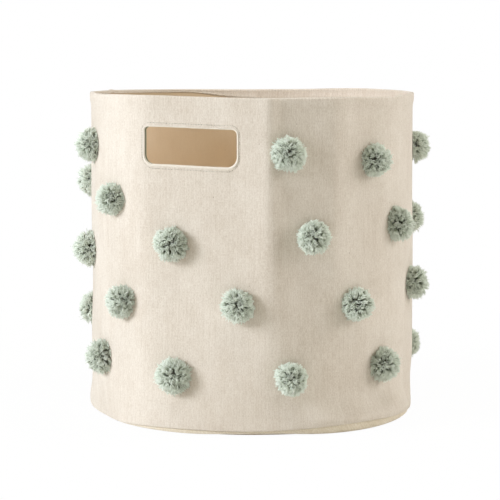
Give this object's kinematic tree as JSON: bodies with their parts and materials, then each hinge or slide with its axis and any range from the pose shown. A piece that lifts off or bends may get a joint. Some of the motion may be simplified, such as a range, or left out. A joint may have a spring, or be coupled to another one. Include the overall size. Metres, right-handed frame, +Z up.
{
  "type": "fabric storage bin",
  "caption": "Round open-topped storage bin of stiffened canvas with a turned-in hem, sewn base, faced cut-out handles on opposite sides and rows of yarn pompoms tied through the cloth.",
  "frame": {"origin": "centre of the base's underside, on the floor", "axes": "+Z up along the bin's axis, -Y out through the front handle, +Y out through the back handle, +X to the right seen from the front"},
  "size_m": [0.3673, 0.371, 0.322],
  "materials": {
    "canvas": "natural undyed cotton canvas, plain weave with slubs, matt",
    "facing": "natural cotton canvas cut on the bias and turned through the window, matt",
    "lining": "tan cotton lining, fine plain weave, matt",
    "felt": "stiff white needle felt",
    "board": "brown fibreboard",
    "thread": "natural cotton sewing thread",
    "yarn": "sage green wool-like yarn, cut pile"
  },
  "bodies": {
    "root": {"outer_wall": "canvas", "wall_core": "felt", "lining_wall": "lining", "rim_stitching": "thread", "base_panel": "canvas", "base_board": "board", "lining_base": "lining", "base_seam_stitching": "thread", "handle_facing_front": "facing", "handle_facing_back": "facing", "handle_stitching_front": "thread", "handle_stitching_back": "thread", "side_seam_stitching": "thread", "pompom_ties": "yarn", "pompom_a1": "yarn", "pompom_a2": "yarn", "pompom_a3": "yarn", "pompom_a4": "yarn", "pompom_a5": "yarn", "pompom_a6": "yarn", "pompom_a7": "yarn", "pompom_b1": "yarn", "pompom_b2": "yarn", "pompom_b3": "yarn", "pompom_b4": "yarn", "pompom_b5": "yarn", "pompom_b6": "yarn", "pompom_b7": "yarn", "pompom_b8": "yarn", "pompom_b9": "yarn", "pompom_c1": "yarn", "pompom_c2": "yarn", "pompom_c3": "yarn", "pompom_c4": "yarn", "pompom_c5": "yarn", "pompom_c6": "yarn", "pompom_c7": "yarn", "pompom_c8": "yarn", "pompom_c9": "yarn", "pompom_d1": "yarn", "pompom_d2": "yarn", "pompom_d3": "yarn", "pompom_d4": "yarn", "pompom_d5": "yarn", "pompom_d6": "yarn", "pompom_d7": "yarn", "pompom_d8": "yarn", "pompom_d9": "yarn"}
  },
  "joints": []
}
